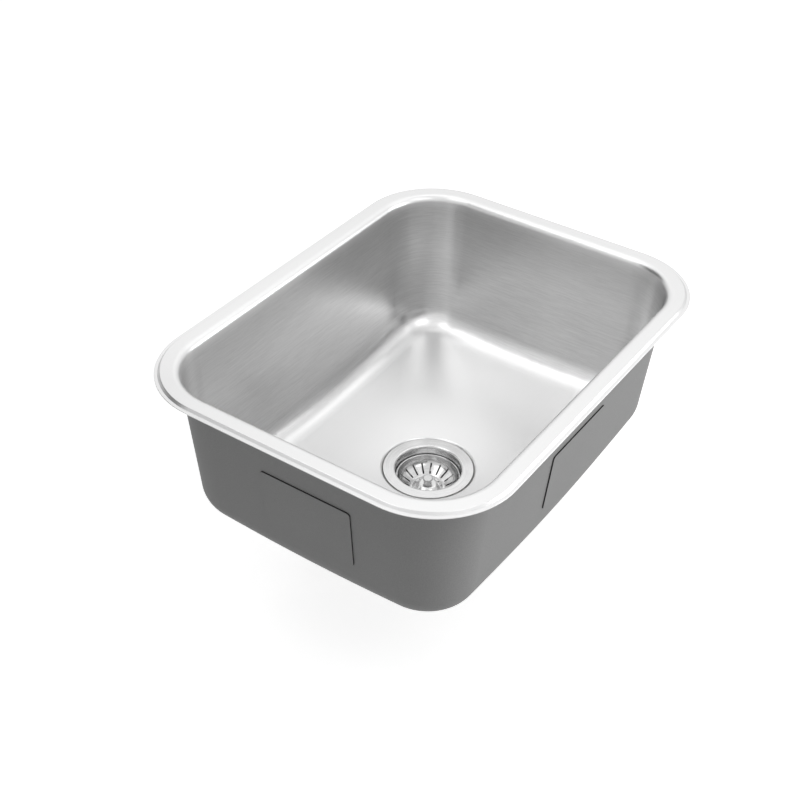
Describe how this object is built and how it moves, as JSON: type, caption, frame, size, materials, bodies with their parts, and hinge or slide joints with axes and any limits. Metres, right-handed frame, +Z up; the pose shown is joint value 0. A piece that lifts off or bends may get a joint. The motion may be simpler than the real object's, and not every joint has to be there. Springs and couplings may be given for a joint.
{
  "type": "drop-in kitchen sink",
  "caption": "Single-bowl stainless drop-in sink with a stepped narrow rim, pitched floor, sprayed outside, sound pads and a lift-out basket strainer with its outlet tube.",
  "frame": {"origin": "centre of the rim on the counter plane, the plane that the underside of the rim's outer lip rests on", "axes": "+X along the rim's long side to the user's right, +Y from the front wall to the back wall, +Z up"},
  "size_m": [0.585, 0.45, 0.3827],
  "materials": {
    "stainless_sheet": "satin",
    "sprayed_undercoat": "matte sprayed",
    "sound_pad": "matte sprayed",
    "strainer_steel": "brushed",
    "spring_steel": "satin",
    "soft_gasket": "matte",
    "black_rubber": "matte",
    "fibre": "matte",
    "plated_metal": "satin plated",
    "white_washer": "matte",
    "polished_tube": "polished",
    "brass": "satin"
  },
  "bodies": {
    "sink": {"sink_bowl": "stainless_sheet", "undercoat": "sprayed_undercoat", "sound_pad_left": "sound_pad", "sound_pad_right": "sound_pad", "sound_pad_front": "sound_pad", "sound_pad_back": "sound_pad", "sound_pad_floor_left": "sound_pad", "sound_pad_floor_right": "sound_pad", "strainer_body": "strainer_steel", "outlet_spud": "plated_metal", "flange_gasket": "soft_gasket", "sink_gasket": "black_rubber", "friction_ring": "fibre", "lock_nut": "plated_metal", "tailpiece_washer": "white_washer", "tailpiece": "polished_tube", "coupling_nut": "plated_metal"},
    "basket": {"basket_cup": "strainer_steel", "basket_post": "strainer_steel", "basket_seal": "black_rubber", "seal_washer": "strainer_steel", "post_nut": "brass", "post_clip": "spring_steel"}
  },
  "joints": [
    {"name": "basket_lift", "type": "slide", "parent": "sink", "child": "basket", "axis": [0, 0, 1], "range_m": [0, 0.12]}
  ]
}
